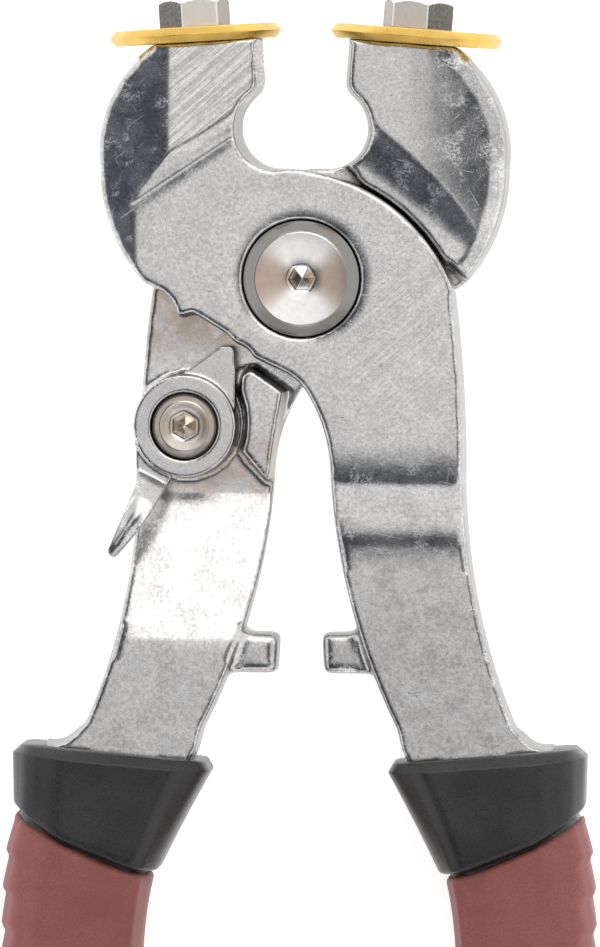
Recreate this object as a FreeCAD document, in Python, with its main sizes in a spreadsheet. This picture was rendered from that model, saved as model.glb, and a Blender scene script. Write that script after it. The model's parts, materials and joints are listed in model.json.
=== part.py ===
"""Wheeled glass nippers: two cast halves crossing at a lap joint, each with a carbide wheel on its jaw.

The tool lies on its back. +Y runs from the grips to the jaws and +Z is the side with the lock lever.
Every outline is drawn about the pivot axis, at the middle of the tool's thickness, for the half whose
jaw is on the left and whose handle is on the right. The other half is the same casting turned over.
"""
import FreeCAD
import Part
import Sketcher
import math
import os

V = FreeCAD.Vector
doc = FreeCAD.newDocument("WheeledNippers")

# ---------------------------------------------------------------- driving dimensions (mm, degrees)
DIMENSIONS = [
    ("pivot_y", 66.8, "pivot axis above the middle of the tool's length"),
    ("wheel_dia", 22.0, "carbide wheel, outer diameter"),
    ("wheel_thick", 1.9, "carbide wheel, thickness"),
    ("wheel_bevel", 0.75, "depth of the cutting bevel"),
    ("wheel_x", 14.1, "wheel centre from the middle plane, tool at rest"),
    ("wheel_y", 30.85, "wheel centre from the pivot axis"),
    ("wheel_tilt", 3.9, "lean of each wheel's axis, tool at rest"),
    ("bolt_dia", 5.0, "wheel bolt thread"),
    ("bolt_flats", 8.0, "wheel bolt head across flats"),
    ("bolt_head", 3.5, "wheel bolt head height"),
    ("bolt_reach", 14.0, "wheel bolt length under the head"),
    ("hub_face", 7.6, "hub face from the middle plane"),
    ("jaw_face", 7.0, "back of the jaw from the middle plane"),
    ("jaw_rise", 0.75, "front of the jaw above the hub face"),
    ("tang_face", 4.75, "handle face from the middle plane"),
    ("lap_gap", 0.5, "space between the two lap faces"),
    ("lap_arc", 23.8, "radius of the curved edge of the hub plate"),
    ("lap_play", 0.45, "room round that edge for the swing"),
    ("running", 0.05, "radial clearance of a turning or threaded fit"),
    ("shank_dia", 9.0, "pivot screw shank"),
    ("thread_dia", 8.0, "pivot screw thread under the nut"),
    ("head_dia", 14.7, "pivot screw head and nut"),
    ("head_thick", 3.6, "pivot screw head"),
    ("nut_thick", 3.2, "pivot nut"),
    ("seat_depth", 3.0, "counterbore for the head"),
    ("seat_play", 0.15, "gap round the head"),
    ("seat_washer", 0.4, "washer under the head"),
    ("socket_flats", 3.0, "hexagon socket"),
    ("socket_depth", 2.2, "hexagon socket"),
    ("spring_room", 14.4, "recess for the return spring"),
    ("spring_deep", 2.4, "depth of that recess in each half"),
    ("spring_radius", 6.2, "return spring, mean radius"),
    ("spring_wire", 1.2, "return spring, wire"),
    ("lever_x", 14.8, "lever axis from the middle plane"),
    ("lever_y", 18.9, "lever axis below the pivot axis"),
    ("lever_base", 1.3, "underside of the lever from the middle plane"),
    ("lever_thick", 5.5, "lever hub"),
    ("lever_dia", 13.0, "lever hub"),
    ("pawl_drop", 1.2, "pawl below the hub's face"),
    ("tail_rise", 2.0, "tail above the hub's face"),
    ("lever_floor", 2.9, "floor of the screw recess above the underside"),
    ("bush_dia", 6.0, "bush in the lever"),
    ("lever_head_dia", 8.3, "lever screw head"),
    ("lever_head", 2.5, "lever screw head"),
    ("lever_thread", 4.0, "lever screw thread"),
    ("boss_face", 6.0, "lever stop face from the middle plane"),
    ("collar_half", 9.5, "collar, half its thickness"),
    ("grip_half", 9.0, "grip, half its thickness and half its width"),
    ("sleeve_half", 6.2, "inner sleeve, half its thickness and half its width"),
    ("tang_half", 4.0, "hidden tang, half its width"),
]


def fill_sheet():
    """Write the driving dimensions as plain numbers with aliases."""
    page = doc.addObject("Spreadsheet::Sheet", "dims")
    for row, (alias, value, note) in enumerate(DIMENSIONS, start=1):
        page.set(f"A{row}", note)
        page.set(f"B{row}", str(value))
        page.setAlias(f"B{row}", alias)
    doc.recompute()
    return page


sheet = fill_sheet()


def size(alias):
    return float(sheet.get(alias))


# ---------------------------------------------------------------- small helpers
def path(points):
    """Lines and arcs through points: (x, y) ends a line, (x1, y1, x, y) is an arc through x1, y1."""
    shapes = []
    here = V(*points[0], 0)
    for step in points[1:]:
        there = V(*step[-2:], 0)
        if len(step) == 4:
            shapes.append(Part.Arc(here, V(*step[:2], 0), there))
        else:
            shapes.append(Part.LineSegment(here, there))
        here = there
    return shapes


def hexagon(flats):
    """Six lines round the origin, with two flats square to Y."""
    radius = flats / math.sqrt(3)
    corners = [(radius * math.cos(k * math.pi / 3), radius * math.sin(k * math.pi / 3)) for k in range(6)]
    return path(corners + corners[:1])


def new_body(label):
    body = doc.addObject("PartDesign::Body", label)
    body.Label = label
    return body


def add_sketch(body, name, shapes, role="XY_Plane", offset=None, turn=0.0):
    """A sketch on one of the body's origin planes, turned about its own Y axis."""
    plane = next(f for f in body.Origin.OriginFeatures if f.Role == role)
    drawing = body.newObject("Sketcher::SketchObject", name)
    drawing.AttachmentSupport = [(plane, "")]
    drawing.MapMode = "FlatFace"
    drawing.AttachmentOffset = FreeCAD.Placement(V(), FreeCAD.Rotation(V(0, 1, 0), turn))
    for axis, formula in (offset or {}).items():
        drawing.setExpression(f"AttachmentOffset.Base.{axis}", formula)
    drawing.addGeometry(shapes, False)
    return drawing


def add_circle(body, name, diameter, role="XY_Plane", offset=None, turn=0.0):
    """A circle on the sketch origin whose diameter is a formula of the sheet."""
    ring = [Part.Circle(V(), V(0, 0, 1), 1.0)]
    drawing = add_sketch(body, name, ring, role, offset, turn)
    drawing.addConstraint(Sketcher.Constraint("Coincident", 0, 3, -1, 1))
    drawing.addConstraint(Sketcher.Constraint("Diameter", 0, 2.0))
    drawing.setExpression("Constraints[1]", diameter)
    return drawing


def add_feature(body, kind, name, drawing, length=None, both=False, back=False):
    """A Pad or Pocket of a sketch; no length means through everything."""
    feature = body.newObject(f"PartDesign::{kind}", name)
    feature.Profile = drawing
    if length is None:
        feature.Type = "ThroughAll"
    else:
        feature.setExpression("Length", length)
    feature.Midplane = both
    feature.Reversed = back
    return feature


def add_turned(body, name, drawing):
    """A Revolution of a sketch about its own vertical axis."""
    feature = body.newObject("PartDesign::Revolution", name)
    feature.Profile = drawing
    feature.ReferenceAxis = (drawing, ["V_Axis"])
    feature.Angle = 360.0
    return feature


def place(item, x="0", y="0", z="0", turn=None):
    """Set a sub-part about the pivot axis, at the middle of the tool's thickness."""
    if turn is not None:
        item.Placement = FreeCAD.Placement(V(), turn)
    item.setExpression("Placement.Base.x", f"{x} * 1 mm")
    item.setExpression("Placement.Base.y", f"(dims.pivot_y + {y}) * 1 mm")
    item.setExpression("Placement.Base.z", f"(dims.wheel_dia / 2 + {z}) * 1 mm")
    return item


def about_y(angle):
    return FreeCAD.Rotation(V(0, 1, 0), angle)


def about_z(angle):
    return FreeCAD.Rotation(V(0, 0, 1), angle)


# ---------------------------------------------------------------- handle centre line
# From the collar the handle turns from BEND[0] to BEND[1] degrees off the Y axis on a short radius,
# then to BEND[2] degrees on a long one.
HANDLE_START = (22.4, -60.4)
BEND = (27.0, 3.0, -4.0)
SHORT_RADIUS = 61.6
LONG_RADIUS = 614.0


def along(start, radius, first, last):
    """Where an arc ends that leaves start at `first` degrees and stops at `last`."""
    a, b = math.radians(first), math.radians(last)
    x = start[0] + radius * (math.cos(b) - math.cos(a))
    y = start[1] - radius * (math.sin(a) - math.sin(b))
    return (x, y)


HANDLE_MIDDLE = along(HANDLE_START, SHORT_RADIUS, BEND[0], BEND[1])


def handle_point(angle, aside):
    """The point `aside` mm off the handle's centre line where that line has turned to `angle`."""
    if angle > BEND[1]:
        x, y = along(HANDLE_START, SHORT_RADIUS, BEND[0], angle)
    else:
        x, y = along(HANDLE_MIDDLE, LONG_RADIUS, BEND[1], angle)
    slope = math.radians(angle)
    return (x + aside * math.cos(slope), y + aside * math.sin(slope))


def band_sides(half, outer_from, inner_from, last):
    """Both long sides of a band about the centre line, with a rounded end, as steps of a path."""
    def side(angle, aside):
        return handle_point(angle, aside)

    middle = (BEND[1] + last) / 2
    steps = [side((outer_from + BEND[1]) / 2, half) + side(BEND[1], half)]
    steps.append(side(middle, half) + side(last, half))
    tip = handle_point(last, 0)
    steps.append((tip[0] - half * math.sin(math.radians(-last)), tip[1] - half) + side(last, -half))
    steps.append(side(middle, -half) + side(BEND[1], -half))
    steps.append(side((inner_from + BEND[1]) / 2, -half) + side(inner_from, -half))
    return [side(outer_from, half)] + steps


# ---------------------------------------------------------------- castings
RIDGE_SLOPE = 37.3                      # slope of the ridge that crosses each jaw, degrees
RIDGE = 20.8                            # distance of that ridge from the pivot axis
FOOT_SLOPE = 36.5                       # slope of the foot of the raised jaw face, degrees
FOOT = [(5.0, 7.6), (19.74, 7.6), (21.2, 7.79, 23.0, 8.62), (23.0, 10.0), (5.0, 10.0)]
JAW_FRONT = [(-30.0, 6.13), (-17.05, 8.3), (-4.5, 7.9), (-4.5, 10.0), (-30.0, 10.0)]
JAW_BACK = [(-11.0, -7.0), (-18.5, -6.635, -30.0, -4.66), (-30.0, -9.0), (-11.0, -9.0)]
SCOOP = (15.2, 20.0)                    # axis of the hollow below the ridge: off the pivot, off the middle
LAP_CENTRE = ("2.92", "-9.9")           # centre of the other half's curved edge
OUTER_JAW = [(-18.9, 29.57), (-24.6, 23.2, -26.15, 14.04), (-25.05, 6.9, -21.0, -0.24)]
LOWER_EDGE = [(-20.2, -1.03), (-17.7, -2.15), (-16.7, -3.4, -16.2, -4.7), (-15.5, -5.3, -14.6, -5.1),
              (-13.8, -4.85), (-9.5, -7.5), (-8.8, -8.35, -7.9, -8.8), (-6.9, -9.45, -6.4, -10.3),
              (-1.9, -12.4), (-0.7, -13.3, 0.5, -14.8), (2.5, -19.2, 3.5, -25.2)]
LOW_HANDLE = [(6.6, -43.1, 12.3, -57.6), (11.9, -60.95), (32.6, -59.1), (32.4, -58.3),
              (29.3, -58.0, 27.5, -57.0), (22.3, -39.5, 21.0, -25.2)]
HUB_EDGE = [(20.15, -7.4, 19.5, -1.9), (11.75, 8.9, -3.5, 13.9)]
THROAT = [(-5.1, 14.4), (-7.95, 18.4, -6.1, 23.0), (-5.25, 24.2, -5.2, 25.6), (-5.5, 30.48)]
STOP_TAB = [(2.57, -45.1), (9.5, -45.1), (11.5, -50.5), (2.88, -50.5)]
FRONT_RAMP = [(-25.75, 7.6), (-29.8, 5.55), (-31.6, 4.9, -34.5, 4.75), (-70.0, 4.75), (-70.0, 9.0), (-25.75, 9.0)]
LAP_RAMP = [(-24.0, 0.25), (-27.5, 0.25), (-46.5, -4.75), (-46.5, -6.0), (-24.0, -6.0)]
SPRING_SLOT = [(6.0, -0.8), (9.2, -0.8), (9.2, 0.8), (6.0, 0.8)]
LEVER_STOP = [(7.95, -12.3), (7.2, -11.75, 6.2, -11.7), (2.0, -14.6), (3.0, -20.3, 3.6, -24.9),
              (3.9, -25.75, 4.6, -25.95), (8.0, -22.1), (7.25, -19.0, 7.6, -16.0), (8.05, -14.6)]


def closed(points):
    """The path joined back to its first point."""
    return path(points + [points[0][-2:]])


def make_casting(label):
    """One half: hub plate, full-thickness jaw, lap recess, jaw hollow, handle, tang and bores."""
    body = new_body(label)
    lap = {"z": "dims.lap_gap / 2"}
    plate = add_sketch(body, label + "_plate", closed(OUTER_JAW + LOWER_EDGE + LOW_HANDLE + HUB_EDGE + THROAT),
                       offset=lap)
    add_feature(body, "Pad", label + "_plate_pad", plate, "dims.hub_face - dims.lap_gap / 2")
    jaw = add_sketch(body, label + "_jaw", closed(OUTER_JAW + THROAT), offset=lap)
    add_feature(body, "Pad", label + "_jaw_pad", jaw, "dims.jaw_face + dims.lap_gap / 2", back=True)
    jaw_top = add_sketch(body, label + "_jaw_top", closed(OUTER_JAW + THROAT), offset=lap)
    add_feature(body, "Pad", label + "_jaw_top_pad", jaw_top, "dims.hub_face + dims.jaw_rise - dims.lap_gap / 2")
    room = {"x": LAP_CENTRE[0], "y": LAP_CENTRE[1], "z": "dims.lap_gap / 2"}
    lap_room = add_circle(body, label + "_lap", "2 * (dims.lap_arc + dims.lap_play)", offset=room)
    add_feature(body, "Pocket", label + "_lap_cut", lap_room, "2 * dims.jaw_face")
    reach = math.hypot(RIDGE - SCOOP[0], size("jaw_face") - SCOOP[1])
    hollow = [Part.Circle(V(SCOOP[0], -SCOOP[1], 0), V(0, 0, 1), reach)]
    scoop = add_sketch(body, label + "_scoop", hollow, "YZ_Plane", turn=RIDGE_SLOPE)
    add_feature(body, "Pocket", label + "_scoop_cut", scoop, both=True)
    foot = add_sketch(body, label + "_foot", closed(FOOT), "YZ_Plane", turn=FOOT_SLOPE)
    add_feature(body, "Pocket", label + "_foot_cut", foot, both=True)
    for name, profile in (("jaw_front", JAW_FRONT), ("jaw_back", JAW_BACK)):
        fall = add_sketch(body, f"{label}_{name}", closed(profile), "XZ_Plane")
        add_feature(body, "Pocket", f"{label}_{name}_cut", fall, both=True)
    low = add_sketch(body, label + "_handle", closed([(3.5, -25.2)] + LOW_HANDLE), offset=lap)
    add_feature(body, "Pad", label + "_handle_pad", low, "dims.tang_face + dims.lap_gap / 2", back=True)
    for name, profile in (("front_ramp", FRONT_RAMP), ("lap_ramp", LAP_RAMP)):
        ramp = add_sketch(body, f"{label}_{name}", closed(profile), "YZ_Plane")
        add_feature(body, "Pocket", f"{label}_{name}_cut", ramp, both=True)
    tang = add_sketch(body, label + "_tang", closed(band_sides(size("tang_half"), 27.0, 33.0, -1.5)))
    add_feature(body, "Pad", label + "_tang_pad", tang, "2 * dims.tang_face", both=True)
    tab = add_sketch(body, label + "_tab", closed(STOP_TAB))
    add_feature(body, "Pad", label + "_tab_pad", tab, "1.5 * dims.tang_face", both=True)
    cut_pivot_bores(body, label)
    seat = {"x": "-dims.wheel_x", "z": "-dims.wheel_y"}
    bolt = add_circle(body, label + "_bolt", "dims.bolt_dia + 2 * dims.running", "XZ_Plane", seat,
                      size("wheel_tilt"))
    add_feature(body, "Pocket", label + "_bolt_hole", bolt, "2 * dims.bolt_reach", both=True)
    return body


def cut_pivot_bores(body, label):
    """Bore for the pivot screw, counterbore for its head, and the recess for the return spring."""
    bore = add_circle(body, label + "_bore", "dims.shank_dia + 2 * dims.running")
    add_feature(body, "Pocket", label + "_bore_cut", bore, both=True)
    seat = add_circle(body, label + "_seat", "dims.head_dia + 2 * dims.seat_play", offset={"z": "dims.hub_face"})
    add_feature(body, "Pocket", label + "_seat_cut", seat, "dims.seat_depth")
    lap = {"z": "dims.lap_gap / 2"}
    room = add_circle(body, label + "_spring", "dims.spring_room", offset=lap)
    add_feature(body, "Pocket", label + "_spring_cut", room, "dims.spring_deep", back=True)
    slot = add_sketch(body, label + "_slot", closed(SPRING_SLOT), offset=lap)
    add_feature(body, "Pocket", label + "_slot_cut", slot, "dims.spring_deep", back=True)


def make_front_half():
    return place(make_casting("front_half"))


def make_rear_half():
    """The same casting turned over, with the lever's boss and stop on its lap face."""
    body = make_casting("rear_half")
    lap = {"z": "dims.lap_gap / 2"}
    at_lever = {"x": "dims.lever_x", "y": "-dims.lever_y", "z": "dims.lap_gap / 2"}
    boss = add_circle(body, "lever_boss", "dims.lever_dia", offset=at_lever)
    add_feature(body, "Pad", "lever_boss_pad", boss, "dims.lever_base - 0.3 + dims.lap_gap / 2", back=True)
    stop = add_sketch(body, "lever_stop", closed(LEVER_STOP), offset=lap)
    add_feature(body, "Pad", "lever_stop_pad", stop, "dims.boss_face + dims.lap_gap / 2", back=True)
    hole = add_circle(body, "lever_hole", "dims.lever_thread + 2 * dims.running", offset=at_lever)
    add_feature(body, "Pocket", "lever_hole_cut", hole, "2 * (dims.lever_base + 4.5)", both=True)
    return place(body, turn=about_y(180))


# ---------------------------------------------------------------- pivot
def make_pivot_screw():
    """Turned head, shank through both halves, thread for the nut, and a hexagon socket."""
    seat = size("hub_face") - size("seat_depth") + size("seat_washer")
    top = seat + size("head_thick")
    end = -seat - size("nut_thick")
    head, shank, thread = size("head_dia") / 2, size("shank_dia") / 2, size("thread_dia") / 2
    profile = [(0, end - 0.4), (thread - 0.5, end - 0.4), (thread, end + 0.1), (thread, -seat), (shank, -seat),
               (shank, seat), (head, seat), (head, top - 0.9), (head - 1.5, top), (0, top - 0.15)]
    body = new_body("pivot_screw")
    drawing = add_sketch(body, "screw_profile", closed(profile), "XZ_Plane")
    add_turned(body, "screw_turned", drawing)
    rise = {"z": "dims.hub_face - dims.seat_depth + dims.seat_washer + dims.head_thick"}
    socket = add_sketch(body, "screw_socket", hexagon(size("socket_flats")), offset=rise)
    add_feature(body, "Pocket", "screw_socket_cut", socket, "dims.socket_depth")
    return place(body)


def make_pivot_nut():
    """Round nut with two spanner slots, in the rear counterbore."""
    bore = size("thread_dia") / 2 + size("running")
    rim, thick = size("head_dia") / 2, size("nut_thick")
    body = new_body("pivot_nut")
    profile = [(bore, 0), (rim, 0), (rim, thick - 0.8), (rim - 1.2, thick), (bore, thick)]
    drawing = add_sketch(body, "nut_profile", closed(profile), "XZ_Plane")
    add_turned(body, "nut_turned", drawing)
    slots = [(-rim, -1.0), (rim, -1.0), (rim, 1.0), (-rim, 1.0)]
    groove = add_sketch(body, "nut_slots", closed(slots), offset={"z": "dims.nut_thick"})
    add_feature(body, "Pocket", "nut_slots_cut", groove, "dims.nut_thick / 2.5")
    return place(body, z="(dims.seat_depth - dims.hub_face - dims.seat_washer)", turn=about_y(180))


def make_ring(label, outer, inner, thick, **spot):
    """A flat washer or bush: one cylinder cut from another, all three sizes formulas of the sheet."""
    solid = doc.addObject("Part::Cylinder", label + "_outside")
    solid.setExpression("Radius", f"({outer}) / 2")
    hole = doc.addObject("Part::Cylinder", label + "_inside")
    hole.setExpression("Radius", f"({inner}) / 2")
    for cylinder in (solid, hole):
        cylinder.setExpression("Height", thick)
    ring = doc.addObject("Part::Cut", label)
    ring.Base = solid
    ring.Tool = hole
    ring.Label = label
    return place(ring, **spot)


def make_washers():
    loose = "dims.shank_dia + 0.3"
    seat = "dims.hub_face - dims.seat_depth"
    return [
        make_ring("front_pivot_washer", "dims.head_dia", loose, "dims.seat_washer", z=f"({seat})"),
        make_ring("rear_pivot_washer", "dims.head_dia", loose, "dims.seat_washer",
                  z=f"(-({seat}) - dims.seat_washer)"),
        make_ring("lap_washer", "21.6", "18.8", "dims.lap_gap - 0.1", z="(0.05 - dims.lap_gap / 2)"),
    ]


def make_torsion_spring():
    """Return spring: two and a half turns round the screw, with a straight leg into each half's slot."""
    radius, wire = size("spring_radius"), size("spring_wire")
    turns, pitch = 2.5, wire + 0.1
    rise = turns * pitch
    helix = Part.makeHelix(pitch, rise, radius)
    helix.translate(V(0, 0, -rise / 2))
    helix.rotate(V(), V(0, 0, 1), 180)
    section = Part.Wire([Part.makeCircle(wire / 2, V(-radius, 0, -rise / 2), V(0, 1, 0))])
    body = Part.Wire(helix.Edges).makePipeShell([section], True, True)
    for side in (-1, 1):
        foot = V(side * radius, 0, side * rise / 2)
        body = body.fuse(Part.makeCylinder(wire / 2, 2.6, foot, V(side, 0, 0)))
    spring = doc.addObject("Part::Feature", "torsion_spring")
    spring.Label = "torsion_spring"
    spring.Shape = body
    return place(spring)


# ---------------------------------------------------------------- cutting wheels
def make_wheel(label, side):
    """Flat disc with a bevelled cutting rim, its axis leaning out by wheel_tilt."""
    bore = size("bolt_dia") / 2 + size("running")
    rim, half, bevel = size("wheel_dia") / 2, size("wheel_thick") / 2, size("wheel_bevel")
    profile = [(bore, -half), (rim - bevel, -half), (rim, -0.05), (rim, 0.05), (rim - bevel, half), (bore, half)]
    body = new_body(label)
    drawing = add_sketch(body, label + "_profile", closed(profile))
    add_turned(body, label + "_turned", drawing)
    return place(body, x=f"({side} * dims.wheel_x)", y="dims.wheel_y", turn=about_z(-side * size("wheel_tilt")))


def make_wheel_bolt(label, side):
    """Hexagon bolt; its head's corners are turned down to a chamfer."""
    corner = "dims.bolt_flats / sqrt(3)"
    prism = doc.addObject("Part::Prism", label + "_hexagon")
    prism.Polygon = 6
    prism.setExpression("Circumradius", corner)
    prism.setExpression("Height", "dims.bolt_head")
    cone = doc.addObject("Part::Cone", label + "_chamfer")
    cone.setExpression("Radius1", f"{corner} + 1.6 * dims.bolt_head")
    cone.setExpression("Radius2", "0.95 * dims.bolt_flats / 2")
    cone.setExpression("Height", "dims.bolt_head")
    head = doc.addObject("Part::Common", label + "_head")
    head.Base = prism
    head.Tool = cone
    shank = doc.addObject("Part::Cylinder", label + "_shank")
    shank.setExpression("Radius", "dims.bolt_dia / 2")
    shank.setExpression("Height", "dims.bolt_reach")
    shank.setExpression("Placement.Base.z", "-dims.bolt_reach")
    bolt = doc.addObject("Part::Fuse", label)
    bolt.Base = head
    bolt.Tool = shank
    bolt.Label = label
    lean = math.radians(size("wheel_tilt"))
    axis = V(side * math.sin(lean), math.cos(lean), 0)
    turn = FreeCAD.Rotation(V(0, 0, 1), axis)
    return place(bolt, x=f"({side} * (dims.wheel_x + dims.wheel_thick / 2 * sin(dims.wheel_tilt * 1 deg)))",
                 y="dims.wheel_y + dims.wheel_thick / 2 * cos(dims.wheel_tilt * 1 deg)", turn=turn)


# ---------------------------------------------------------------- lock lever
TAIL_SLOPE = 27.8                       # how far the tail points off straight down, degrees
PAWL = [(-0.7, 0.0), (6.4, 0.0), (6.3, 9.6), (5.8, 10.2), (4.5, 10.2), (-0.7, 6.4)]
TAIL = [(-6.3, -1.2), (-6.1, -7.3), (-6.94, -9.6), (-8.7, -13.8, -9.5, -15.6),
        (-9.4, -16.4, -8.5, -16.6), (-6.2, -13.9, -3.06, -9.06), (-1.57, -6.3), (0.0, -1.2)]
TAIL_TOP = [(-5.0, 4.0), (-7.6, 4.0), (-10.6, 6.1), (-14.5, 7.5, -19.5, 7.0), (-19.5, 10.0), (-5.0, 10.0)]
TAIL_UNDER = [(-6.7, -1.0), (-6.7, 1.2), (-8.6, 1.5), (-11.4, 3.5), (-15.0, 4.8, -19.5, 4.9), (-19.5, -1.0)]


def make_lock_lever():
    """Hub with a pawl above it and a thumb tail below that rises clear of the handle."""
    body = new_body("lock_lever")
    tail = add_sketch(body, "lever_tail", closed(TAIL))
    add_feature(body, "Pad", "lever_tail_pad", tail, "dims.lever_thick + dims.tail_rise")
    for name, profile in (("top", TAIL_TOP), ("under", TAIL_UNDER)):
        drawing = add_sketch(body, "lever_tail_" + name, closed(profile), "YZ_Plane", turn=-TAIL_SLOPE)
        add_feature(body, "Pocket", f"lever_tail_{name}_cut", drawing, both=True)
    flat = add_circle(body, "lever_flat", "dims.lever_dia", offset={"z": "dims.lever_thick - dims.pawl_drop"})
    add_feature(body, "Pocket", "lever_flat_cut", flat, "dims.lever_thick", back=True)
    hub = add_circle(body, "lever_hub", "dims.lever_dia")
    add_feature(body, "Pad", "lever_hub_pad", hub, "dims.lever_thick")
    pawl = add_sketch(body, "lever_pawl", closed(PAWL))
    add_feature(body, "Pad", "lever_pawl_pad", pawl, "dims.lever_thick - dims.pawl_drop")
    bore = add_circle(body, "lever_bore", "dims.bush_dia + 2 * dims.running")
    add_feature(body, "Pocket", "lever_bore_cut", bore, both=True)
    recess = add_circle(body, "lever_recess", "dims.lever_head_dia + 0.4", offset={"z": "dims.lever_thick"})
    add_feature(body, "Pocket", "lever_recess_cut", recess, "dims.lever_thick - dims.lever_floor")
    return place(body, x="-dims.lever_x", y="-dims.lever_y", z="dims.lever_base")


def make_lever_screw():
    """Low-headed screw with a hexagon socket."""
    head, thread, thick = size("lever_head_dia") / 2, size("lever_thread") / 2, size("lever_head")
    profile = [(0, -9.5), (thread - 0.4, -9.5), (thread, -9.1), (thread, 0), (head, 0), (head, thick - 0.7),
               (head - 1.05, thick), (0, thick)]
    body = new_body("lever_screw")
    drawing = add_sketch(body, "lever_screw_profile", closed(profile), "XZ_Plane")
    add_turned(body, "lever_screw_turned", drawing)
    socket = add_sketch(body, "lever_screw_socket", hexagon(size("socket_flats")), offset={"z": "dims.lever_head"})
    add_feature(body, "Pocket", "lever_screw_socket_cut", socket, "dims.lever_head - 0.8")
    return place(body, x="-dims.lever_x", y="-dims.lever_y", z="(dims.lever_base + dims.lever_floor + 0.35)")


def make_lever_rings():
    spot = {"x": "-dims.lever_x", "y": "-dims.lever_y"}
    return [
        make_ring("lever_bush", "dims.bush_dia", "dims.lever_thread + 2 * dims.running",
                  "dims.lever_floor + 0.65", z="(dims.lever_base - 0.3)", **spot),
        make_ring("lever_wave_washer", "dims.lever_head_dia + 0.2", "dims.bush_dia + 0.2", "0.3",
                  z="(dims.lever_base + dims.lever_floor + 0.03)", **spot),
    ]


# ---------------------------------------------------------------- handles
COLLAR = [(10.9, -61.05), (10.5, -61.9, 10.9, -62.9), (15.6, -70.4, 18.05, -75.75), (27.4, -72.9, 36.4, -67.1),
          (36.6, -60.1), (36.3, -59.2, 35.4, -58.9)]


def make_core(label, angle):
    """Black collar and the inner sleeve that carries the grip, round the tang."""
    body = new_body(label)
    collar = add_sketch(body, label + "_collar", closed(COLLAR))
    add_feature(body, "Pad", label + "_collar_pad", collar, "2 * dims.collar_half", both=True)
    sleeve = add_sketch(body, label + "_sleeve", closed(band_sides(size("sleeve_half"), 20.0, 22.0, -3.5)))
    add_feature(body, "Pad", label + "_sleeve_pad", sleeve, "2 * dims.sleeve_half", both=True)
    tang = add_sketch(body, label + "_cavity", closed(band_sides(size("tang_half"), 27.0, 33.0, -1.5)))
    add_feature(body, "Pocket", label + "_cavity_cut", tang, "2 * dims.tang_face", both=True)
    return place(body, turn=about_y(angle))


def make_grip(label, angle):
    """Rubber grip over the sleeve."""
    body = new_body(label)
    outline = band_sides(size("grip_half"), 16.0, 13.0, -4.0)
    outside = add_sketch(body, label + "_outside", path(outline + [(27.5, -73.8) + outline[0]]))
    add_feature(body, "Pad", label + "_pad", outside, "2 * dims.grip_half", both=True)
    sleeve = add_sketch(body, label + "_cavity", closed(band_sides(size("sleeve_half"), 20.0, 22.0, -3.5)))
    add_feature(body, "Pocket", label + "_cavity_cut", sleeve, "2 * dims.sleeve_half", both=True)
    return place(body, turn=about_y(angle))


# ---------------------------------------------------------------- assembly
def make_all():
    """Every separate piece of the tool."""
    pieces = [make_front_half(), make_rear_half(), make_pivot_screw(), make_pivot_nut(), make_torsion_spring()]
    pieces += make_washers()
    for name, side, angle in (("left", -1, 180), ("right", 1, 0)):
        pieces.append(make_wheel(name + "_wheel", side))
        pieces.append(make_wheel_bolt(name + "_wheel_bolt", side))
        pieces.append(make_core(name + "_handle_core", angle))
        pieces.append(make_grip(name + "_grip", angle))
    pieces += [make_lock_lever(), make_lever_screw()]
    pieces += make_lever_rings()
    return pieces


def check(pieces):
    """Stop if any object failed or any sub-part has no sound single shape."""
    for item in doc.Objects:
        if "Invalid" in item.State or "Error" in item.State:
            raise RuntimeError(f"{item.Name}: {item.State}")
    for piece in pieces:
        if piece.Shape.isNull() or not piece.Shape.isValid():
            raise RuntimeError(f"{piece.Label}: bad shape")
        if len(piece.Shape.Solids) != 1:
            raise RuntimeError(f"{piece.Label}: {len(piece.Shape.Solids)} solids")


def export(pieces):
    os.makedirs("parts", exist_ok=True)
    for piece in pieces:
        piece.Shape.exportStep(f"parts/{piece.Label}.step")


parts = make_all()
doc.recompute()
check(parts)
export(parts)
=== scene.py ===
"""Wheeled glass nippers lying on a pale floor: the looks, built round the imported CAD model.

Lengths in the builders below are millimetres about the pivot axis, at the middle of the tool's
thickness, and row() turns them into metres in the row frame.
"""
import bpy
import bmesh
import json
import math
import numpy as np
from mathutils import Matrix, Vector


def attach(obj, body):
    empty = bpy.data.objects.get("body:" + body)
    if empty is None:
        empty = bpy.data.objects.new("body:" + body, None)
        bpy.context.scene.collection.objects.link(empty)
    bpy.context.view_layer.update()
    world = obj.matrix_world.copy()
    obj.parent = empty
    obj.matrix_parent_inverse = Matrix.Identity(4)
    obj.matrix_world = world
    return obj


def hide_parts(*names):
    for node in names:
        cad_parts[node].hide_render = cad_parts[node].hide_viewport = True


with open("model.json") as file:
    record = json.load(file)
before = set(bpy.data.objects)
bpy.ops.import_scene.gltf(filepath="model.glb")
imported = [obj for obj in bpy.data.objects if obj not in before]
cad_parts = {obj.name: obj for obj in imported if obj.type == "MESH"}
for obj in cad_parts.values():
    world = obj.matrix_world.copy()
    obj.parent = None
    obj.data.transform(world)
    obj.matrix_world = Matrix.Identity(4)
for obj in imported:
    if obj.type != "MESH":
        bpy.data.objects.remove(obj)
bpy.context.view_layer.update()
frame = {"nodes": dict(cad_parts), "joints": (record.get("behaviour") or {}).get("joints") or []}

MM = 0.001
HOLDING = 1.2                           # how far out the points that hold a rounded corner lie
JOINTS = {joint["name"]: joint for joint in frame["joints"]}
PIVOT = np.array(JOINTS["main_pivot"]["pos_m"])
LEVER = (np.array(JOINTS["lever_turn"]["pos_m"]) - PIVOT) / MM
JAW_BODY = {"left": "moving_half", "right": "fixed_half"}       # each half's handle is on the other side


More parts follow.
